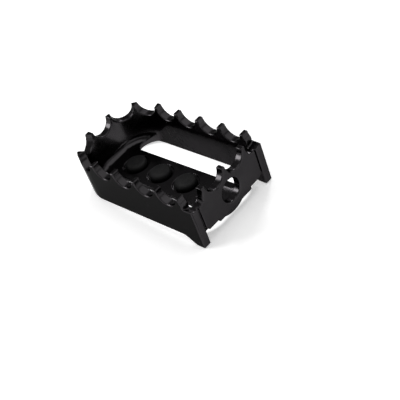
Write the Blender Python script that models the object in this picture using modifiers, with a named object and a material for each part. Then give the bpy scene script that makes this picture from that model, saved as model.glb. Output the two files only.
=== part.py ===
"""Toe peg for the end of a motorcycle's gear or brake lever.

An open metal tub with a scalloped, toothed rim and windows in its floor, so that mud falls through.
One end is a flat wall with a clearance hole for an M8 screw, between two wings that straddle the
lever. Rubber studs are pushed through the beam that runs down the middle of the floor.
Frame: +X towards the lever, +Y across the peg, +Z up; the origin is under the middle of the peg,
level with the tips of the wings. Units are metres.
"""
import math

import bpy
import bmesh
from mathutils import Matrix, Vector

MM = 0.001

# Tub
LENGTH = 62.2 * MM
WIDTH = 36.4 * MM
WALL = 3.1 * MM
NOSE_RADIUS = 14.0 * MM
TUB_DEPTH = 16.75 * MM
FLOOR_THICKNESS = 1.7 * MM
FLOOR_FILLET = 2.8 * MM

# Wings that straddle the lever
WING_DROP = 3.5 * MM
WING_FOOT = 2.6 * MM
WING_SWEEP = 6.2 * MM
SKIRT_DROP = 0.45 * MM

# End wall and the screw that holds it
END_WALL = 3.0 * MM
SCREW_HEIGHT = 6.9 * MM
SCREW_HOLE = 8.5 * MM
HEAD_POCKET = 14.0 * MM
HEAD_ROOM = 9.0 * MM
BOSS_WALL = 3.0 * MM
BOSS_SETBACK = 1.8 * MM
RELIEF_WIDTH = 6.6 * MM
RELIEF_HEIGHT = 1.1 * MM
GROOVE_DEPTH = 0.8 * MM
GROOVE_TOP = 0.6 * MM
GROOVE_FOOT = 1.3 * MM

# Toothed rim
TOOTH_PITCH = 10.26 * MM
SCALLOP_RADIUS = 4.4 * MM
SCALLOP_DEPTH = 4.3 * MM
END_SCALLOP_DEPTH = 4.4 * MM
CORNER_SCALLOP_DEPTH = 5.0 * MM
CORNER_LAND = 1.6 * MM

# Windows on each side of the floor's beam
BEAM_WIDTH = 14.3 * MM
WINDOW_START = 8.0 * MM
WINDOW_END = 2.2 * MM
WINDOW_CORNER = 1.6 * MM
WINDOW_NOSE_CORNER = 6.0 * MM

# Rubber studs
STUD_COUNT = 3
STUD_LEAD = 0.88
STUD_TAIL = 0.66
STUD_HEAD = 8.2 * MM
STUD_PROUD = 1.4 * MM
STUD_CROWN = 1.0 * MM
STUD_SHANK = 4.8 * MM
STUD_LIP = 6.6 * MM
STUD_LIP_HEIGHT = 1.3 * MM
STUD_RECESS = 0.6 * MM
RING_WIDTH = 0.8 * MM

# Fits and cutting
SEAT_GAP = 0.3 * MM
CLEAR = 5.0 * MM
ARC_STEP = math.radians(6.0)

# Heights and stations worked out from the sizes above
RIM_Z = TUB_DEPTH + WING_DROP
UNDERSIDE_Z = WING_DROP
FLOOR_Z = UNDERSIDE_Z + FLOOR_THICKNESS
SCREW_Z = UNDERSIDE_Z + SCREW_HEIGHT
MOUTH_X = LENGTH / 2
NOSE_X = -LENGTH / 2
INNER_HALF = WIDTH / 2 - WALL
WALL_INNER_X = MOUTH_X - END_WALL
POCKET_END_X = WALL_INNER_X - HEAD_ROOM
FLOOR_START_X = NOSE_X + WALL + FLOOR_FILLET
STUD_PITCH = (POCKET_END_X - FLOOR_START_X) / (STUD_COUNT - 1 + STUD_LEAD + STUD_TAIL)


def make_collection(name, hidden=False):
    """A new collection under the scene's own, out of the render if it holds cutters."""
    collection = bpy.data.collections.new(name)
    collection.hide_render = hidden
    bpy.context.scene.collection.children.link(collection)
    return collection


def make_material(name, colour, roughness, metallic):
    material = bpy.data.materials.new(name)
    material.use_nodes = True
    shader = material.node_tree.nodes["Principled BSDF"]
    shader.inputs["Base Color"].default_value = (*colour, 1.0)
    shader.inputs["Roughness"].default_value = roughness
    shader.inputs["Metallic"].default_value = metallic
    material.diffuse_color = (*colour, 1.0)
    return material


def as_cutter(obj):
    obj.hide_render = True
    obj.display_type = "WIRE"
    return obj


def arc(centre, radius, start, end):
    """Points of a circle from one angle to another, ends included."""
    steps = max(2, math.ceil(abs(end - start) / ARC_STEP))
    angles = [start + (end - start) * i / steps for i in range(steps + 1)]
    return [(centre[0] + radius * math.cos(a), centre[1] + radius * math.sin(a)) for a in angles]


def prism(name, outline, low, high, axis, collection):
    """A flat outline as a filled 2D curve, extruded from low to high along an axis, made a mesh.

    The outline is (x, y) for axis Z, (x, z) for axis Y and (y, z) for axis X.
    """
    curve = bpy.data.curves.new(name, "CURVE")
    curve.dimensions = "2D"
    curve.fill_mode = "BOTH"
    curve.extrude = (high - low) / 2
    spline = curve.splines.new("POLY")
    spline.points.add(len(outline) - 1)
    for point, (u, v) in zip(spline.points, outline):
        point.co = (u, v, 0.0, 1.0)
    spline.use_cyclic_u = True
    guide = bpy.data.objects.new(name + "_outline", curve)
    collection.objects.link(guide)
    middle = (low + high) / 2
    turn = {
        "X": Matrix(((0, 0, 1, middle), (1, 0, 0, 0), (0, 1, 0, 0), (0, 0, 0, 1))),
        "Y": Matrix(((1, 0, 0, 0), (0, 0, -1, middle), (0, 1, 0, 0), (0, 0, 0, 1))),
        "Z": Matrix.Translation((0, 0, middle)),
    }[axis]
    evaluated = guide.evaluated_get(bpy.context.evaluated_depsgraph_get())
    mesh = bpy.data.meshes.new_from_object(evaluated)
    mesh.transform(turn)
    weld(mesh)
    bpy.data.objects.remove(guide)
    bpy.data.curves.remove(curve)
    obj = bpy.data.objects.new(name, mesh)
    collection.objects.link(obj)
    return obj


def weld(mesh):
    """Joins the caps to the sides and makes each cap one face."""
    bm = bmesh.new()
    bm.from_mesh(mesh)
    bmesh.ops.remove_doubles(bm, verts=bm.verts, dist=0.002 * MM)
    bmesh.ops.dissolve_limit(bm, angle_limit=math.radians(0.5), verts=bm.verts, edges=bm.edges)
    bmesh.ops.recalc_face_normals(bm, faces=bm.faces)
    bm.to_mesh(mesh)
    bm.free()


def cylinder(name, radius, length, place, direction, collection):
    """A capped cylinder centred on place, with its axis along direction."""
    mesh = bpy.data.meshes.new(name)
    bm = bmesh.new()
    turn = Vector((0, 0, 1)).rotation_difference(direction).to_matrix().to_4x4()
    bmesh.ops.create_cone(bm, cap_ends=True, segments=round(2 * math.pi / ARC_STEP), radius1=radius,
                          radius2=radius, depth=length, matrix=Matrix.Translation(place) @ turn)
    bm.to_mesh(mesh)
    bm.free()
    obj = bpy.data.objects.new(name, mesh)
    collection.objects.link(obj)
    return obj


def boolean(target, operation, other):
    """Adds an exact Boolean modifier that works with an object or with a whole collection."""
    modifier = target.modifiers.new(operation.lower(), "BOOLEAN")
    modifier.operation = operation
    modifier.solver = "EXACT"
    if isinstance(other, bpy.types.Collection):
        modifier.operand_type = "COLLECTION"
        modifier.collection = other
    else:
        modifier.object = other
        as_cutter(other)


def plan_outline(half_width, nose_x, corner, end_x):
    """The tub seen from above: round corners at the nose, straight sides to end_x."""
    far = arc((nose_x + corner, half_width - corner), corner, math.pi / 2, math.pi)
    near = arc((nose_x + corner, corner - half_width), corner, math.pi, 1.5 * math.pi)
    return [(end_x, half_width)] + far + near + [(end_x, -half_width)]


def side_outline():
    """The tub seen from the side: walls that deepen a little, then sweep down to the wings' feet."""
    foot_x = MOUTH_X - WING_FOOT
    root_z = UNDERSIDE_Z - SKIRT_DROP
    steps = 8
    sweep = []
    for i in range(steps + 1):
        t = i / steps
        ease = t * t * (3 - 2 * t)
        sweep.append((foot_x - WING_SWEEP * (1 - t), root_z * (1 - ease)))
    lower = [(NOSE_X - CLEAR, UNDERSIDE_Z), (NOSE_X, UNDERSIDE_Z)] + sweep + [(MOUTH_X, 0.0)]
    return lower + [(MOUTH_X, RIM_Z), (NOSE_X - CLEAR, RIM_Z)]


def wall_station(distance):
    """Place and outward normal on the wall's middle line, on the near side, from the nose's middle."""
    mid_radius = NOSE_RADIUS - WALL / 2
    flat = WIDTH / 2 - NOSE_RADIUS
    if distance <= flat:
        return Vector((NOSE_X + WALL / 2, -distance, 0)), Vector((-1, 0, 0))
    turn = (distance - flat) / mid_radius
    centre = Vector((NOSE_X + NOSE_RADIUS, -flat, 0))
    if turn < math.pi / 2:
        normal = Vector((-math.cos(turn), -math.sin(turn), 0))
        return centre + normal * mid_radius, normal
    run = distance - flat - mid_radius * math.pi / 2
    return centre + Vector((run, -mid_radius, 0)), Vector((0, -1, 0))


def side_path_length():
    straight = LENGTH - NOSE_RADIUS
    return WIDTH / 2 - NOSE_RADIUS + (NOSE_RADIUS - WALL / 2) * math.pi / 2 + straight


def make_rim_cutters(collection):
    """Round cutters: square to the wall all round the tub, and along X for the end wall."""
    count = round(side_path_length() / TOOTH_PITCH)
    pitch = side_path_length() / count
    height = Vector((0, 0, RIM_Z - SCALLOP_DEPTH + SCALLOP_RADIUS))
    for i in range(count + 1):
        place, normal = wall_station(i * pitch)
        for side, name in ((1, "near"), (-1, "far")) if i else ((1, "nose"),):
            mirrored = Vector((1, side, 1))
            cylinder(f"scallop_{name}_{i}", SCALLOP_RADIUS, 3 * WALL, (place + height) * mirrored,
                     normal * mirrored, collection)
    corner = TOOTH_PITCH + CORNER_LAND / 2 + SCALLOP_RADIUS
    reach = END_WALL + 2 * SEAT_GAP
    for y, depth in ((TOOTH_PITCH / 2, END_SCALLOP_DEPTH), (corner, CORNER_SCALLOP_DEPTH)):
        for side, name in ((1, "far"), (-1, "near")):
            place = Vector((MOUTH_X, side * y, RIM_Z - depth + SCALLOP_RADIUS))
            kind = "end" if y < corner else "corner"
            cylinder(f"scallop_{kind}_{name}", SCALLOP_RADIUS, 2 * reach, place,
                     Vector((1, 0, 0)), collection)
    for obj in collection.objects:
        as_cutter(obj)


def boss_outline():
    """The underside of the pocket for the screw's head, a bowl centred on the screw."""
    radius = HEAD_POCKET / 2 + BOSS_WALL
    top = UNDERSIDE_Z + FLOOR_THICKNESS / 2
    rise = math.asin((top - SCREW_Z) / radius)
    return arc((0.0, SCREW_Z), radius, math.pi - rise, 2 * math.pi + rise)


def window_outline(side):
    """One window of the floor: square to the beam, with a big round at the nose, out to the wall."""
    near, far = BEAM_WIDTH / 2, INNER_HALF
    left, right = NOSE_X + WINDOW_START, WALL_INNER_X - WINDOW_END
    small, big = WINDOW_CORNER, WINDOW_NOSE_CORNER
    points = arc((left + big, far - big), big, math.pi, math.pi / 2)
    points += [(right, far)]
    points += arc((right - small, near + small), small, 0, -math.pi / 2)
    points += arc((left + small, near + small), small, 1.5 * math.pi, math.pi)
    return [(x, side * y) for x, y in points]


def make_cavity(collection):
    """The space inside the tub, with a round where the floor meets the walls."""
    outline = plan_outline(INNER_HALF, NOSE_X + WALL, NOSE_RADIUS - WALL, WALL_INNER_X)
    cavity = prism("cavity", outline, FLOOR_Z, RIM_Z + CLEAR, "Z", collection)
    bm = bmesh.new()
    bm.from_mesh(cavity.data)
    base = [e for e in bm.edges if all(abs(v.co.z - FLOOR_Z) < 0.01 * MM for v in e.verts)
            and len({round(f.normal.z) for f in e.link_faces}) == 2]
    bmesh.ops.bevel(bm, geom=base, offset=FLOOR_FILLET, segments=4, profile=0.5, affect="EDGES",
                    clamp_overlap=True)
    bm.to_mesh(cavity.data)
    bm.free()
    return cavity


def stud_places():
    """Axes of the studs along the beam, spread between the head's pocket and the nose's fillet."""
    first = POCKET_END_X - STUD_LEAD * STUD_PITCH
    return [Vector((first - i * STUD_PITCH, 0, 0)) for i in range(STUD_COUNT)]


def make_body(parts, cutters, material):
    """The one-piece metal peg."""
    body = prism("peg_body", plan_outline(WIDTH / 2, NOSE_X, NOSE_RADIUS, MOUTH_X), -CLEAR,
                 RIM_Z, "Z", parts)
    body.data.materials.append(material)
    boolean(body, "INTERSECT", prism("side_shape", side_outline(), -WIDTH, WIDTH, "Y", cutters))

    inner = [(-INNER_HALF, -CLEAR), (INNER_HALF, -CLEAR)]
    under = inner + [(INNER_HALF, UNDERSIDE_Z), (-INNER_HALF, UNDERSIDE_Z)]
    boolean(body, "DIFFERENCE",
            prism("under_floor", under, NOSE_X - CLEAR, MOUTH_X + CLEAR, "X", cutters))
    boolean(body, "UNION",
            prism("head_boss", boss_outline(), POCKET_END_X - BOSS_WALL,
                  MOUTH_X - BOSS_SETBACK, "X", cutters))
    boolean(body, "DIFFERENCE", make_cavity(cutters))
    rim_cutters = make_collection("rim_cutters", hidden=True)
    make_rim_cutters(rim_cutters)
    boolean(body, "DIFFERENCE", rim_cutters)

    through = make_collection("floor_and_screw_cutters", hidden=True)
    for side, name in ((1, "far"), (-1, "near")):
        as_cutter(prism(f"window_{name}", window_outline(side), -CLEAR, RIM_Z - CLEAR, "Z", through))
    for i, place in enumerate(stud_places()):
        hole = (STUD_SHANK / 2 + SEAT_GAP, 6 * FLOOR_THICKNESS)
        as_cutter(cylinder(f"stud_hole_{i + 1}", *hole, place + Vector((0, 0, FLOOR_Z)),
                           Vector((0, 0, 1)), through))
        ring = (STUD_HEAD / 2 + RING_WIDTH, 2 * STUD_RECESS)
        as_cutter(cylinder(f"stud_ring_{i + 1}", *ring, place + Vector((0, 0, FLOOR_Z)),
                           Vector((0, 0, 1)), through))
    for side, name in ((1, "far"), (-1, "near")):
        relief = [(side * y, z) for y, z in (
            (INNER_HALF - RELIEF_WIDTH, UNDERSIDE_Z - CLEAR), (INNER_HALF, UNDERSIDE_Z - CLEAR),
            (INNER_HALF, UNDERSIDE_Z + RELIEF_HEIGHT),
            (INNER_HALF - RELIEF_WIDTH, UNDERSIDE_Z + RELIEF_HEIGHT))]
        as_cutter(prism(f"relief_{name}", relief, WALL_INNER_X, MOUTH_X + CLEAR, "X", through))
        groove = [(side * y, z) for y, z in (
            (INNER_HALF, RIM_Z), (INNER_HALF - GROOVE_TOP, RIM_Z),
            (INNER_HALF - GROOVE_FOOT / 2, UNDERSIDE_Z + 2 * GROOVE_FOOT),
            (INNER_HALF - GROOVE_FOOT, UNDERSIDE_Z + RELIEF_HEIGHT + GROOVE_TOP),
            (INNER_HALF - 2 * GROOVE_FOOT, UNDERSIDE_Z), (INNER_HALF, UNDERSIDE_Z))]
        as_cutter(prism(f"groove_{name}", groove, MOUTH_X - GROOVE_DEPTH, MOUTH_X + CLEAR, "X",
                        through))
    along = Vector((1, 0, 0))
    as_cutter(cylinder("screw_hole", SCREW_HOLE / 2, 2 * (END_WALL + CLEAR),
                       Vector((MOUTH_X, 0, SCREW_Z)), along, through))
    as_cutter(cylinder("head_pocket", HEAD_POCKET / 2, HEAD_ROOM,
                       Vector((WALL_INNER_X - HEAD_ROOM / 2, 0, SCREW_Z)), along, through))
    boolean(body, "DIFFERENCE", through)
    return body


def make_stud(name, place, parts, material):
    """A push-in rubber stud: domed head, shank through the floor and a lip that holds it."""
    head, shank, lip = STUD_HEAD / 2, STUD_SHANK / 2, STUD_LIP / 2
    top = FLOOR_Z + STUD_PROUD
    seat = FLOOR_Z - STUD_RECESS + SEAT_GAP
    under = UNDERSIDE_Z - SEAT_GAP
    shoulder = head - STUD_CROWN
    profile = [(0.0, top), (shoulder, top)]
    profile += [(shoulder + STUD_CROWN * math.sin(a), top - STUD_CROWN * (1 - math.cos(a)))
                for a in (math.pi / 8, math.pi / 4, 3 * math.pi / 8, math.pi / 2)]
    profile += [(head, seat), (shank, seat), (shank, under), (lip, under),
                (shank, under - STUD_LIP_HEIGHT), (0.0, under - STUD_LIP_HEIGHT)]
    mesh = bpy.data.meshes.new(name)
    bm = bmesh.new()
    verts = [bm.verts.new((r, 0, z)) for r, z in profile]
    for a, b in zip(verts, verts[1:]):
        bm.edges.new((a, b))
    bm.to_mesh(mesh)
    bm.free()
    mesh.materials.append(material)
    stud = bpy.data.objects.new(name, mesh)
    parts.objects.link(stud)
    stud.location = place
    screw = stud.modifiers.new("turn", "SCREW")
    screw.steps = 40
    screw.render_steps = 40
    screw.use_merge_vertices = True
    screw.merge_threshold = 0.01 * MM
    screw.use_normal_calculate = False
    return stud


def main():
    for obj in list(bpy.data.objects):
        bpy.data.objects.remove(obj)
    parts = make_collection("toe_peg")
    cutters = make_collection("cutters", hidden=True)
    metal = make_material("black_coat", (0.018, 0.018, 0.020), 0.38, 0.6)
    rubber = make_material("stud_rubber", (0.022, 0.022, 0.023), 0.72, 0.0)
    make_body(parts, cutters, metal)
    for i, place in enumerate(stud_places()):
        make_stud(f"tread_stud_{i + 1}", place, parts, rubber)


main()
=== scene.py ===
"""Looks of a toe peg for a motorcycle's gear or brake lever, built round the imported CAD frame.

The casting is a rounded copy of its CAD node with a satin black coat, and each rubber stud is
turned afresh with its moulded details. Units are metres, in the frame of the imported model: +X
towards the lever, +Y across the peg, +Z up.
"""

from __future__ import annotations

import logging
import math
from dataclasses import dataclass, field
from enum import Enum

import bmesh
import bpy
from mathutils import Matrix, Vector
from mathutils.bvhtree import BVHTree

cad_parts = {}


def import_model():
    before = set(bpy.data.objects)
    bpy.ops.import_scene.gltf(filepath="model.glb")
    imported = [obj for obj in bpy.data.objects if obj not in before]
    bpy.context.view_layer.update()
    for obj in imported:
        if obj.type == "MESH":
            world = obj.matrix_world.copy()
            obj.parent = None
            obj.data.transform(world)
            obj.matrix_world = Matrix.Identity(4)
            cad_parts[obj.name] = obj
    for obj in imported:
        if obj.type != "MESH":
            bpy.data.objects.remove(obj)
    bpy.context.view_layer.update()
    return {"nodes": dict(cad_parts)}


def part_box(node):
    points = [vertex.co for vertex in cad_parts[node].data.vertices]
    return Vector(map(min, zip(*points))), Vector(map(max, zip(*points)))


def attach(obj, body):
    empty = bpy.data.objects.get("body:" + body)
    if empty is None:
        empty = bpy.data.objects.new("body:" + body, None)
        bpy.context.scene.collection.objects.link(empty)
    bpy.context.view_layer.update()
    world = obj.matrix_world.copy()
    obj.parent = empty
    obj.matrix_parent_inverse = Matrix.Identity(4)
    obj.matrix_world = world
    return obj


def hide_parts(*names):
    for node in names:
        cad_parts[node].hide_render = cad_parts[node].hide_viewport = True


MM = 0.001
LOG = logging.getLogger("toe_peg")

Pair = tuple[float, float]
Point = tuple[float, float, float]
Colour = tuple[float, float, float]
Socket = bpy.types.NodeSocket


class Slot(Enum):
    """Names of the record's material slots."""

    COAT = "black_coat"
    RUBBER = "stud_rubber"


class Rays(Enum):
    """Ray kinds that show a surface to the camera, by their Light Path output."""

    CAMERA = "Is Camera Ray"
    GLOSSY = "Is Glossy Ray"
    TRANSMISSION = "Is Transmission Ray"


@dataclass(frozen=True)
class Grain:
    """A noise pattern, and how it acts on colour, roughness and relief.

    Attributes:
        scale: Features per metre.
        octaves: How many sizes of feature it has.
        finer: How strong each finer size is beside the one before it.
        span: Values at which its effect on colour or roughness begins and is full.
        strength: Strength of its relief.
        depth: Depth of its relief.
    """

    scale: float
    octaves: float
    finer: float = 0.5
    span: Pair = (0.3, 0.7)
    strength: float = 0.0
    depth: float = 0.0


class Nodes:
    """A small helper that adds and links the nodes of one material or world.

    Attributes:
        tree: The node tree that is being filled.
    """

    def __init__(self, tree: bpy.types.NodeTree) -> None:
        """Empties the tree.

        Args:
            tree: The node tree of a material or a world.
        """
        self.tree = tree
        tree.nodes.clear()

    def add(self, kind: str, **values: object) -> bpy.types.Node:
        """Adds a node and sets its properties and inputs.

        Args:
            kind: The node's type, such as "ShaderNodeTexNoise".
            **values: Properties by name, or inputs by name with spaces as underscores.

        Returns:
            The new node.
        """
        node = self.tree.nodes.new(kind)
        for name, value in values.items():
            if hasattr(node, name):
                setattr(node, name, value)
            else:
                node.inputs[name.replace("_", " ")].default_value = value
        return node

    def link(self, source: Socket, target: Socket) -> None:
        """Links an output to an input.

        Args:
            source: The output socket.
            target: The input socket.
        """
        self.tree.links.new(source, target)

    def place(self) -> Socket:
        """Adds the Object coordinate.

        Returns:
            The coordinate's socket.
        """
        return self.add("ShaderNodeTexCoord").outputs["Object"]

    def ramp(self, source: Socket, span: Pair, result: Pair = (0.0, 1.0)) -> Socket:
        """Maps a value from one range to another, clamped at both ends.

        Args:
            source: The value.
            span: The values that become the two ends of the result.
            result: The two ends of the result.

        Returns:
            The mapped value's socket.
        """
        node = self.add("ShaderNodeMapRange", From_Min=span[0], From_Max=span[1],
                        To_Min=result[0], To_Max=result[1])
        self.link(source, node.inputs["Value"])
        return node.outputs["Result"]

    def mix(self, factor: Socket, first: Colour, second: Colour) -> Socket:
        """Mixes two colours.

        Args:
            factor: 0 for the first colour, 1 for the second.
            first: The first colour.
            second: The second colour.

        Returns:
            The mixed colour's socket.
        """
        node = self.add("ShaderNodeMix", data_type="RGBA")
        colours = [s for s in node.inputs if s.type == "RGBA"]
        colours[0].default_value = (*first, 1.0)
        colours[1].default_value = (*second, 1.0)
        self.link(factor, node.inputs["Factor"])
        return next(s for s in node.outputs if s.type == "RGBA")

    def math(self, operation: str, first: Socket, second: Socket | float) -> Socket:
        """Works out one value from two.

        Args:
            operation: The Math node's operation, such as "MULTIPLY".
            first: The first value.
            second: The second value, a socket or a number.

        Returns:
            The result's socket.
        """
        node = self.add("ShaderNodeMath", operation=operation)
        self.link(first, node.inputs[0])
        if isinstance(second, Socket):
            self.link(second, node.inputs[1])
        else:
            node.inputs[1].default_value = second
        return node.outputs[0]

    def vector(self, operation: str, first: Socket, second: Point = (0.0, 0.0, 0.0)) -> Socket:
        """Works out one vector from two.

        Args:
            operation: The Vector Math node's operation, such as "SUBTRACT".
            first: The first vector.
            second: The second vector.

        Returns:
            The result's socket.
        """
        node = self.add("ShaderNodeVectorMath", operation=operation)
        self.link(first, node.inputs[0])
        node.inputs[1].default_value = second
        return node.outputs["Vector"]

    def length(self, source: Socket) -> Socket:
        """Measures a vector.

        Args:
            source: The vector.

        Returns:
            The length's socket.
        """
        node = self.add("ShaderNodeVectorMath", operation="LENGTH")
        self.link(source, node.inputs[0])
        return node.outputs["Value"]

    def noise(self, place: Socket, grain: Grain) -> Socket:
        """Adds a noise texture.

        Args:
            place: The coordinate.
            grain: The pattern.

        Returns:
            The noise value's socket.
        """
        node = self.add("ShaderNodeTexNoise", Scale=grain.scale, Detail=grain.octaves,
                        Roughness=grain.finer)
        self.link(place, node.inputs["Vector"])
        return node.outputs[0]

    def relief(self, height: Socket, grain: Grain, normal: Socket | None = None) -> Socket:
        """Turns a noise value into relief.

        Args:
            height: The noise value.
            grain: The pattern that the value comes from.
            normal: The normal that the relief is laid over, if not the surface's own.

        Returns:
            The new normal's socket.
        """
        node = self.add("ShaderNodeBump", Strength=grain.strength, Distance=grain.depth)
        self.link(height, node.inputs["Height"])
        if normal is not None:
            self.link(normal, node.inputs["Normal"])
        return node.outputs["Normal"]

    def seen(self) -> Socket:
        """Tells what the camera sees, directly, in a reflection or through glass, from lighting.

        Returns:
            1 where the camera sees the surface in any of these ways, 0 otherwise.
        """
        path = self.add("ShaderNodeLightPath")
        direct = self.math("MAXIMUM", path.outputs[Rays.CAMERA.value],
                           path.outputs[Rays.GLOSSY.value])
        return self.math("MAXIMUM", direct, path.outputs[Rays.TRANSMISSION.value])

    def finish(self, surface: Socket, kind: str = "ShaderNodeOutputMaterial") -> None:
        """Links the finished surface to the tree's output.

        Args:
            surface: The shader's socket.
            kind: The output node's type.
        """
        self.link(surface, self.add(kind).inputs["Surface"])


def new_material(name: str) -> tuple[bpy.types.Material, Nodes]:
    """Makes a material without nodes.

    Args:
        name: The material's name.

    Returns:
        The material and the helper that adds its nodes.
    """
    material = bpy.data.materials.new(name)
    material.use_nodes = True
    return material, Nodes(material.node_tree)


def grey(value: float) -> tuple[float, float, float, float]:
    """Makes an opaque grey of one brightness."""
    return (value, value, value, 1.0)


@dataclass(frozen=True)
class CoatFinish:
    """Satin black powder coat over a casting.

    Attributes:
        name: The material's name.
        colour: How much the coat reflects head-on.
        dusty: The same where the coat is a little greyer.
        roughness: Roughness of the smooth and of the rough patches.
        graze: How much of the reflection is left at a grazing angle.
        skin: Weight of the hard outer skin.
        skin_roughness: Roughness of the skin.
        edge: Radius over which the coat softens the edges' shading.
        edge_samples: Samples taken to soften it.
        cloud: Patches of the greyer colour.
        peel: Ripples of the coat.
        grain: Fine cast grain, which also varies the roughness.
    """

    name: str = "satin_black_coat"
    colour: Colour = (0.0260, 0.0245, 0.0262)
    dusty: Colour = (0.0345, 0.0326, 0.0345)
    roughness: Pair = (0.18, 0.28)
    graze: float = 0.2
    skin: float = 0.10
    skin_roughness: float = 0.08
    edge: float = 0.45 * MM
    edge_samples: int = 8
    cloud: Grain = Grain(85.0, 3.0, span=(0.35, 0.7))
    peel: Grain = Grain(620.0, 3.0, 0.45, strength=0.5, depth=0.035 * MM)
    grain: Grain = Grain(3600.0, 4.0, 0.6, strength=0.35, depth=0.035 / 3 * MM)

    def build(self) -> bpy.types.Material:
        """Makes the material.

        Returns:
            The new material.
        """
        material, n = new_material(self.name)
        place = n.place()
        cloud = n.ramp(n.noise(place, self.cloud), self.cloud.span)
        grain = n.noise(place, self.grain)
        shader = n.add("ShaderNodeBsdfPrincipled", Metallic=1.0, Specular_Tint=grey(self.graze),
                       Coat_Weight=self.skin, Coat_Roughness=self.skin_roughness)
        n.link(n.mix(cloud, self.colour, self.dusty), shader.inputs["Base Color"])
        n.link(n.ramp(grain, self.grain.span, self.roughness), shader.inputs["Roughness"])
        soft = n.add("ShaderNodeBevel", samples=self.edge_samples, Radius=self.edge)
        ripple = n.relief(n.noise(place, self.peel), self.peel, soft.outputs["Normal"])
        n.link(ripple, shader.inputs["Coat Normal"])
        n.link(n.relief(grain, self.grain, ripple), shader.inputs["Normal"])
        n.finish(shader.outputs["BSDF"])
        return material


@dataclass(frozen=True)
class RubberFinish:
    """Matte moulded rubber.

    Attributes:
        name: The material's name.
        colour: The rubber's colour.
        bloom: The colour where it is greyer.
        roughness: Roughness of the smooth and of the rough patches.
        gloss: Strength of its reflection.
        cloud: Patches of the greyer colour.
        grain: Fine grain, which also varies the roughness.
    """

    name: str = "moulded_rubber"
    colour: Colour = (0.005, 0.005, 0.0053)
    bloom: Colour = (0.010, 0.010, 0.010)
    roughness: Pair = (0.58, 0.76)
    gloss: float = 0.14
    cloud: Grain = Grain(210.0, 4.0, span=(0.3, 0.75))
    grain: Grain = Grain(2600.0, 5.0, 0.65, strength=0.6, depth=0.03 * MM)

    def build(self) -> bpy.types.Material:
        """Makes the material.

        Returns:
            The new material.
        """
        material, n = new_material(self.name)
        place = n.place()
        cloud = n.ramp(n.noise(place, self.cloud), self.cloud.span)
        grain = n.noise(place, self.grain)
        shader = n.add("ShaderNodeBsdfPrincipled", Specular_IOR_Level=self.gloss)
        n.link(n.mix(cloud, self.colour, self.bloom), shader.inputs["Base Color"])
        n.link(n.ramp(grain, self.grain.span, self.roughness), shader.inputs["Roughness"])
        n.link(n.relief(grain, self.grain), shader.inputs["Normal"])
        n.finish(shader.outputs["BSDF"])
        return material


def fill(mesh: bpy.types.Mesh, bm: bmesh.types.BMesh) -> bpy.types.Mesh:
    """Writes an edited shape to a mesh and frees the shape.

    Args:
        mesh: The mesh to fill.
        bm: The edited shape.

    Returns:
        The same mesh, filled.
    """
    bm.to_mesh(mesh)
    bm.free()
    return mesh


def show(name: str, mesh: bpy.types.Mesh, material: bpy.types.Material) -> bpy.types.Object:
    """Makes a shown object of a finished mesh, with its place in the mesh.

    Args:
        name: The object's name.
        mesh: The finished mesh.
        material: Its only material.

    Returns:
        The new object.
    """
    mesh.materials.clear()
    mesh.materials.append(material)
    obj = bpy.data.objects.new(name, mesh)
    bpy.context.scene.collection.objects.link(obj)
    return obj


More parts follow.
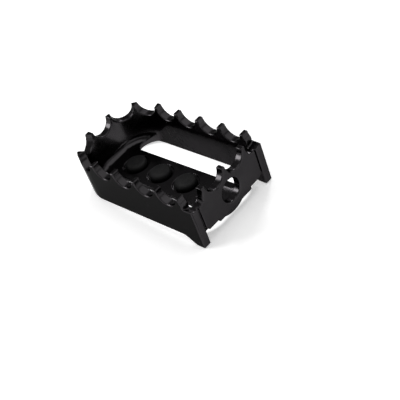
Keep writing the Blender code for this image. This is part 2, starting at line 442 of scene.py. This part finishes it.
@dataclass
class Casting:
    """The one-piece metal peg: the CAD form with every edge rounded as a coated casting's are.

    Attributes:
        finish: The coat.
        node: The CAD node that this piece stands for.
        round_size: Width of the rounded edges.
        tight_size: Width of the rounded edges where there is no room for more.
        room: A face must be more than this many times as wide as its edge's rounding.
        strip: A strip beside a sharp edge is widened up to this many times the rounding.
        round_segments: Facets across a rounded edge.
        melt_rounds: How often crossing faces are smoothed.
        melt_share: How far a point moves towards its neighbours each time.
        melt_size: Longest edge of a point that may be smoothed.
        melt_sides: Most sides of a face whose points may be smoothed.
        sharp_angle: Edges that turn by more than this are rounded.
        crease_angle: Edges that still turn by more than this are shaded as creases.
        flat_angle: Faces that turn by less than this are one face.
        merge: Points nearer than this are one.
        sliver: Edges shorter than this are closed up.
        area_weight: How much the large faces lead the shading, from 1 to 100.
    """

    finish: CoatFinish = field(default_factory=CoatFinish)
    node: str = "peg_body"
    round_size: float = 0.46 * MM
    tight_size: float = 0.2 * MM
    room: float = 2.1
    strip: float = 1.3
    round_segments: int = 4
    melt_rounds: int = 6
    melt_share: float = 0.5
    melt_size: float = 1.3 * MM
    melt_sides: int = 6
    sharp_angle: float = math.radians(30.0)
    crease_angle: float = math.radians(50.0)
    flat_angle: float = math.radians(1.5)
    merge: float = 0.02 * MM
    sliver: float = 0.12 * MM
    area_weight: int = 100

    def build(self, source: bpy.types.Object) -> bpy.types.Object:
        """Makes the rounded casting.

        Args:
            source: The CAD node's object.

        Returns:
            The piece that is shown in place of the CAD node.
        """
        bm = bmesh.new()
        bm.from_mesh(source.data)
        bmesh.ops.remove_doubles(bm, verts=bm.verts, dist=self.merge)
        bmesh.ops.dissolve_limit(bm, angle_limit=self.flat_angle, verts=bm.verts, edges=bm.edges)
        bmesh.ops.dissolve_degenerate(bm, dist=self.sliver, edges=bm.edges)
        self.widen_strips(bm)
        self.weigh_edges(bm)
        bmesh.ops.recalc_face_normals(bm, faces=bm.faces)
        for face in bm.faces:
            face.smooth = True
        piece = show("casting", fill(bpy.data.meshes.new("casting"), bm), self.finish.build())
        piece.data = self.rounded(piece)
        piece.data.set_sharp_from_angle(angle=self.crease_angle)
        weighted = piece.modifiers.new("even_shading", "WEIGHTED_NORMAL")
        weighted.keep_sharp = True
        weighted.weight = self.area_weight
        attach(piece, "root")
        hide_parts(self.node)
        LOG.info("casting: %d faces", len(piece.data.polygons))
        return piece

    def is_sharp(self, edge: bmesh.types.BMEdge) -> bool:
        """Tells whether an edge is one to round.

        Args:
            edge: The edge.

        Returns:
            True for an edge between two faces that turn by more than the sharp angle.
        """
        return edge.is_manifold and edge.calc_face_angle() > self.sharp_angle

    @staticmethod
    def width(edge: bmesh.types.BMEdge, face: bmesh.types.BMFace) -> float:
        """Measures how far a face reaches from one of its edges.

        Args:
            edge: The edge.
            face: The face beside it.

        Returns:
            The reach, square to the edge.
        """
        start = edge.verts[0].co
        across = face.normal.cross(edge.verts[1].co - start).normalized()
        return max(abs((vert.co - start).dot(across)) for vert in face.verts)

    def widen_strips(self, bm: bmesh.types.BMesh) -> None:
        """Joins the curved faces' narrow strips beside a sharp edge, to make room to round it.

        Args:
            bm: The merged mesh.
        """
        narrow = self.strip * self.round_size
        lines = set()
        for edge in bm.edges:
            if not self.is_sharp(edge):
                continue
            for face in edge.link_faces:
                if len(face.verts) != 4 or self.width(edge, face) > narrow:
                    continue
                far = next((e for e in face.edges if not set(e.verts) & set(edge.verts)), None)
                if far is not None and far.is_manifold and not self.is_sharp(far):
                    lines.add(far)
        bmesh.ops.dissolve_edges(bm, edges=list(lines), use_verts=True)
        LOG.info("casting: %d narrow strips widened", len(lines))

    def weigh_edges(self, bm: bmesh.types.BMesh) -> None:
        """Writes each sharp edge's share of the rounding, by the room beside it.

        Args:
            bm: The merged mesh.
        """
        bm.normal_update()
        share = bm.edges.layers.float.new("bevel_weight_edge")
        tight = self.tight_size / self.round_size
        for edge in bm.edges:
            if self.is_sharp(edge):
                room = min(self.width(edge, face) for face in edge.link_faces)
                edge[share] = 1.0 if room > self.room * self.round_size else tight

    def rounded(self, piece: bpy.types.Object) -> bpy.types.Mesh:
        """Rounds the weighed edges.

        Args:
            piece: The object with the weighed mesh.

        Returns:
            The rounded mesh.
        """
        bevel = piece.modifiers.new("rounding", "BEVEL")
        bevel.limit_method = "WEIGHT"
        bevel.offset_type = "OFFSET"
        bevel.width = self.round_size
        bevel.segments = self.round_segments
        bevel.use_clamp_overlap = False
        graph = bpy.context.evaluated_depsgraph_get()
        mesh = bpy.data.meshes.new_from_object(piece.evaluated_get(graph))
        piece.modifiers.remove(bevel)
        mesh.name = "casting_rounded"
        bm = bmesh.new()
        bm.from_mesh(mesh)
        for _ in range(self.melt_rounds):
            self.melt_crossings(bm)
        self.keep_inside(bm)
        bmesh.ops.recalc_face_normals(bm, faces=bm.faces)
        return fill(mesh, bm)

    def melt_crossings(self, bm: bmesh.types.BMesh) -> None:
        """Smooths the small faces that cross one another where several rounded edges meet.

        Args:
            bm: The rounded mesh.
        """
        bm.faces.ensure_lookup_table()
        tree = BVHTree.FromBMesh(bm)
        verts = set()
        for first, second in tree.overlap(tree):
            one, other = bm.faces[first].verts, bm.faces[second].verts
            if not set(one) & set(other):
                verts.update(one)
                verts.update(other)
        small = [vert for vert in verts
                 if max(edge.calc_length() for edge in vert.link_edges) < self.melt_size
                 and max(len(face.verts) for face in vert.link_faces) <= self.melt_sides]
        bmesh.ops.smooth_vert(bm, verts=small, factor=self.melt_share, use_axis_x=True,
                              use_axis_y=True, use_axis_z=True)

    def keep_inside(self, bm: bmesh.types.BMesh) -> None:
        """Pulls stray points back into the CAD node's box.

        Args:
            bm: The rounded mesh.
        """
        low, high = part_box(self.node)
        for vert in bm.verts:
            vert.co = [min(max(value, least), most)
                       for value, least, most in zip(vert.co, low, high)]


@dataclass
class Stud:
    """A push-in rubber stud with a dished, round-edged head.

    Attributes:
        node: The CAD node that this stud stands for.
        finish: The rubber, shared by all studs.
        height: Height of the head above its seat.
        crown: Radius of the head's outer edge.
        dish: Depth of the hollow in the head's top.
        lip: Width of the head's raised rim.
        flat: Share of the hollow's radius that is flat.
        shank: Radius of the shank.
        bulb: Radius of the bulb below the floor.
        bulb_height: Height of the bulb.
        soft: Size of the small edges.
        rise_steps: Facets from the hollow up to the rim.
        crown_steps: Facets over the head's outer edge.
        steps: Facets round the stud.
        merge: Points nearer than this are one.
        crease_angle: Edges that turn by more than this are shaded as creases.
    """

    node: str
    finish: bpy.types.Material
    height: float = 1.7 * MM
    crown: float = 1.05 * MM
    dish: float = 0.22 * MM
    lip: float = 0.75 * MM
    flat: float = 0.6
    shank: float = 2.4 * MM
    bulb: float = 3.3 * MM
    bulb_height: float = 1.3 * MM
    soft: float = 0.12 * MM
    rise_steps: int = 6
    crown_steps: int = 8
    steps: int = 96
    merge: float = 0.004 * MM
    crease_angle: float = math.radians(50.0)

    def profile(self, low: Vector, high: Vector) -> list[Pair]:
        """Outline of half the stud, from its axis on top round to its axis below.

        Args:
            low: The CAD stud's lowest corner.
            high: The CAD stud's highest corner.

        Returns:
            Radius and height pairs.
        """
        head = (high.x - low.x) / 2
        top = high.z
        brow = head - self.crown
        hollow = (brow - self.lip) * self.flat
        points = [(0.0, top - self.dish), (hollow, top - self.dish)]
        for i in range(1, self.rise_steps + 1):
            t = i / self.rise_steps
            ease = t * t * (3 - 2 * t)
            points.append((hollow + (brow - hollow) * t, top - self.dish * (1 - ease)))
        for i in range(1, self.crown_steps + 1):
            a = math.pi / 2 * i / self.crown_steps
            points.append((brow + self.crown * math.sin(a), top - self.crown * (1 - math.cos(a))))
        seat, under, soft = top - self.height, low.z + self.bulb_height, self.soft
        points += [(head, seat + soft), (head - soft, seat), (self.shank + soft, seat),
                   (self.shank, seat - soft), (self.shank, under + soft),
                   (self.shank + soft, under), (self.bulb - soft, under),
                   (self.bulb, under - soft), (self.shank, low.z + soft),
                   (self.shank - soft, low.z), (0.0, low.z)]
        return points

    def build(self) -> bpy.types.Object:
        """Turns the stud about its axis.

        Returns:
            The piece that is shown in place of the CAD node.
        """
        low, high = (Vector(corner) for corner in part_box(self.node))
        centre = (low + high) / 2
        bm = bmesh.new()
        verts = [bm.verts.new((centre.x + r, centre.y, z)) for r, z in self.profile(low, high)]
        edges = [bm.edges.new(pair) for pair in zip(verts, verts[1:])]
        bmesh.ops.spin(bm, geom=verts + edges, cent=(centre.x, centre.y, 0.0), axis=(0, 0, 1),
                       angle=2 * math.pi, steps=self.steps, use_merge=True)
        bmesh.ops.remove_doubles(bm, verts=bm.verts, dist=self.merge)
        bmesh.ops.recalc_face_normals(bm, faces=bm.faces)
        for face in bm.faces:
            face.smooth = True
        name = self.node + "_turned"
        mesh = fill(bpy.data.meshes.new(name), bm)
        mesh.set_sharp_from_angle(angle=self.crease_angle)
        piece = show(name, mesh, self.finish)
        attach(piece, "root")
        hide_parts(self.node)
        LOG.info("%s: %d faces", self.node, len(mesh.polygons))
        return piece


@dataclass(frozen=True)
class Table:
    """The white sheet that the peg stands on.

    The sheet is level with the wings' tips and the last stud's lower end, so it is a little tipped,
    as the peg would be on it. From below it is clear. Below the peg it carries painted light, which
    whitens the peg's shadow where the windows show the sheet.

    Attributes:
        foot: Where the wings' tips touch the sheet, along the peg and up.
        rest: The node whose lower end touches it too.
        reach: Half the sheet's side.
        white: Brightness of the sheet in the lamps' light.
        lift: Light of the sheet's own near the peg.
        fade: Distances over which that light rises to white, away from the peg.
        glow_centre: Middle of the painted light below the peg, which whitens the peg's shadow where
            the windows show the sheet.
        glow_half: Half its length and width.
        glow_corner: Its corners' radius.
        glow_fade: Width of its soft edge.
    """

    foot: Pair = (0.0285, -0.0001)
    rest: str = "tread_stud_3"
    reach: float = 1.5
    white: float = 0.9
    lift: float = 0.38
    fade: Pair = (0.10, 0.60)
    glow_centre: Point = (0.001, 0.0, 0.0)
    glow_half: Pair = (0.0290, 0.0176)
    glow_corner: float = 0.012
    glow_fade: float = 0.002

    def build(self) -> None:
        """Makes the sheet."""
        low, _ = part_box(self.rest)
        (x0, z0), (x1, z1) = (low[0], low[2]), self.foot
        slope = (z1 - z0) / (x1 - x0)
        bm = bmesh.new()
        bmesh.ops.create_grid(bm, x_segments=1, y_segments=1, size=self.reach)
        for vert in bm.verts:
            vert.co.z = z0 + slope * (vert.co.x - x0)
        show("table", fill(bpy.data.meshes.new("table"), bm), self.material())

    def material(self) -> bpy.types.Material:
        """Makes the sheet's material.

        Returns:
            The new material.
        """
        material, n = new_material("white_sheet")
        place, seen = n.place(), n.seen()
        lift = n.math("MULTIPLY", seen, n.ramp(n.length(place), self.fade, (self.lift, 1.0)))
        # Painted light: below the peg the sheet glows white to the camera and in reflections, so
        # the peg's shadow does not show through its windows.
        below = n.math("MULTIPLY", seen, self.painted_glow_below_peg(n, place))
        light = n.add("ShaderNodeEmission")
        n.link(n.math("MAXIMUM", lift, below), light.inputs["Strength"])
        sheet = n.add("ShaderNodeBsdfDiffuse", Color=grey(self.white))
        both = n.add("ShaderNodeAddShader")
        n.link(sheet.outputs["BSDF"], both.inputs[0])
        n.link(light.outputs["Emission"], both.inputs[1])
        sides = n.add("ShaderNodeMixShader")
        n.link(n.add("ShaderNodeNewGeometry").outputs["Backfacing"], sides.inputs[0])
        n.link(both.outputs["Shader"], sides.inputs[1])
        n.link(n.add("ShaderNodeBsdfTransparent").outputs["BSDF"], sides.inputs[2])
        n.finish(sides.outputs["Shader"])
        return material

    def painted_glow_below_peg(self, n: Nodes, place: Socket) -> Socket:
        """Marks the painted light below the peg, which whitens the peg's shadow on the part of the
        sheet that shows through the peg's windows.

        Args:
            n: The nodes of the sheet's material.
            place: The coordinate.

        Returns:
            1 below the peg, fading to 0 inside its outline.
        """
        core_x, core_y = (half - self.glow_corner for half in self.glow_half)
        size = n.vector("ABSOLUTE", n.vector("SUBTRACT", place, self.glow_centre))
        beyond = n.vector("MAXIMUM", n.vector("SUBTRACT", size, (core_x, core_y, 1.0)))
        start = self.glow_corner - self.glow_fade
        return n.ramp(n.length(beyond), (start, self.glow_corner), (1.0, 0.0))


@dataclass(frozen=True)
class Backdrop:
    """The white ring that stands round the table, behind the peg from every side.

    Attributes:
        radius: The ring's radius.
        low: Its lower edge.
        high: Its upper edge.
        sides: Its sides.
    """

    radius: float = 1.4
    low: float = -0.1
    high: float = 0.7
    sides: int = 64

    def build(self, sky: float) -> None:
        """Makes the ring.

        Args:
            sky: How brightly the ring lights the peg, as the surroundings do.
        """
        bm = bmesh.new()
        ring = bmesh.ops.create_circle(bm, segments=self.sides, radius=self.radius)
        bmesh.ops.translate(bm, vec=(0.0, 0.0, self.low), verts=ring["verts"])
        wall = bmesh.ops.extrude_edge_only(bm, edges=bm.edges[:])
        top = [item for item in wall["geom"] if isinstance(item, bmesh.types.BMVert)]
        bmesh.ops.translate(bm, vec=(0.0, 0.0, self.high - self.low), verts=top)
        material, n = new_material("white_wall")
        light = n.add("ShaderNodeEmission")
        n.link(n.math("MAXIMUM", n.seen(), sky), light.inputs["Strength"])
        n.finish(light.outputs["Emission"])
        show("backdrop", fill(bpy.data.meshes.new("backdrop"), bm), material)


@dataclass(frozen=True)
class SoftBox:
    """A rectangular soft lamp.

    Attributes:
        name: The lamp's name.
        place: Its middle.
        target: The point that it faces.
        size: Its two sides.
        power: Its power in watts.
    """

    name: str
    place: Point
    target: Point
    size: Pair
    power: float

    def build(self) -> None:
        """Makes the lamp."""
        lamp = bpy.data.lights.new(self.name, "AREA")
        lamp.shape = "RECTANGLE"
        lamp.size, lamp.size_y = self.size
        lamp.energy = self.power
        obj = bpy.data.objects.new(self.name, lamp)
        obj.location = self.place
        aim = Vector(self.target) - Vector(self.place)
        obj.rotation_mode = "QUATERNION"
        obj.rotation_quaternion = aim.to_track_quat("-Z", "Y")
        bpy.context.scene.collection.objects.link(obj)


@dataclass(frozen=True)
class Camera:
    """The camera of the photograph, rolled as it shows the peg.

    Attributes:
        lens: Its focal length in millimetres.
        sensor: Its sensor's width in millimetres.
        nearest: The nearest distance that it sees.
        eye: Its place.
        right: Its right.
        up: Its up.
    """

    lens: float = 84.3
    sensor: float = 36.0
    nearest: float = 0.005
    eye: Point = (0.2175, -0.1419, 0.2065)
    right: Point = (0.723, 0.6298, -0.2839)
    up: Point = (-0.2792, 0.6422, 0.7139)

    def build(self) -> None:
        """Makes the camera and sets the scene to look through it."""
        right, up = Vector(self.right), Vector(self.up)
        back = right.cross(up).normalized()
        up = back.cross(right).normalized()
        right = up.cross(back)
        data = bpy.data.cameras.new("camera")
        data.sensor_width = self.sensor
        data.lens = self.lens
        data.clip_start = self.nearest
        camera = bpy.data.objects.new("camera", data)
        turn = Matrix((right, up, back)).transposed()
        camera.matrix_world = Matrix.LocRotScale(Vector(self.eye), turn.to_quaternion(), None)
        bpy.context.scene.collection.objects.link(camera)
        bpy.context.scene.camera = camera


@dataclass
class Studio:
    """The white set, the soft light and the camera of the photograph.

    Attributes:
        table: The sheet below the peg.
        backdrop: The ring round it.
        sky: Brightness of the surroundings.
        boxes: The lamps.
        camera: The camera.
    """

    table: Table = field(default_factory=Table)
    backdrop: Backdrop = field(default_factory=Backdrop)
    sky: float = 0.22
    boxes: tuple[SoftBox, ...] = (
        SoftBox("overhead", (0.10, 0.16, 0.58), (0.0, 0.0, 0.0), (0.80, 0.80), 2.1),
        SoftBox("left_front", (-0.34, -0.31, 0.24), (0.0, 0.0, 0.01), (0.24, 0.24), 1.9),
        SoftBox("back", (-0.20, 0.42, 0.30), (0.0, 0.0, 0.01), (0.12, 0.12), 1.1),
    )
    camera: Camera = field(default_factory=Camera)

    def build(self) -> None:
        """Makes the whole set."""
        self.table.build()
        self.backdrop.build(self.sky)
        self.build_world()
        for box in self.boxes:
            box.build()
        self.camera.build()
        bpy.context.scene.view_settings.view_transform = "Standard"
        LOG.info("studio: table, backdrop, %d lamps and a camera", len(self.boxes))

    def build_world(self) -> None:
        """Makes the even, neutral surroundings."""
        world = bpy.data.worlds.new("surroundings")
        world.use_nodes = True
        n = Nodes(world.node_tree)
        light = n.add("ShaderNodeBackground", Color=grey(1.0), Strength=self.sky)
        n.finish(light.outputs["Background"], "ShaderNodeOutputWorld")
        bpy.context.scene.world = world


@dataclass
class ToePeg:
    """The whole object, built from its casting and studs.

    Attributes:
        casting: The metal body.
        rubber: The studs' finish.
        stud_nodes: What the names of the studs' CAD nodes start with.
    """

    casting: Casting = field(default_factory=Casting)
    rubber: RubberFinish = field(default_factory=RubberFinish)
    stud_nodes: str = "tread_stud"

    def build(self, nodes: dict[str, bpy.types.Object]) -> None:
        """Builds every piece.

        Args:
            nodes: The CAD nodes by name.
        """
        self.casting.build(nodes[self.casting.node])
        material = self.rubber.build()
        for name in sorted(node for node in nodes if node.startswith(self.stud_nodes)):
            Stud(name, material).build()


def main() -> None:
    """Builds the scene."""
    logging.basicConfig(level=logging.INFO, format="%(name)s: %(message)s")
    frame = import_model()
    ToePeg().build(frame["nodes"])
    Studio().build()


if __name__ == "__main__":
    main()
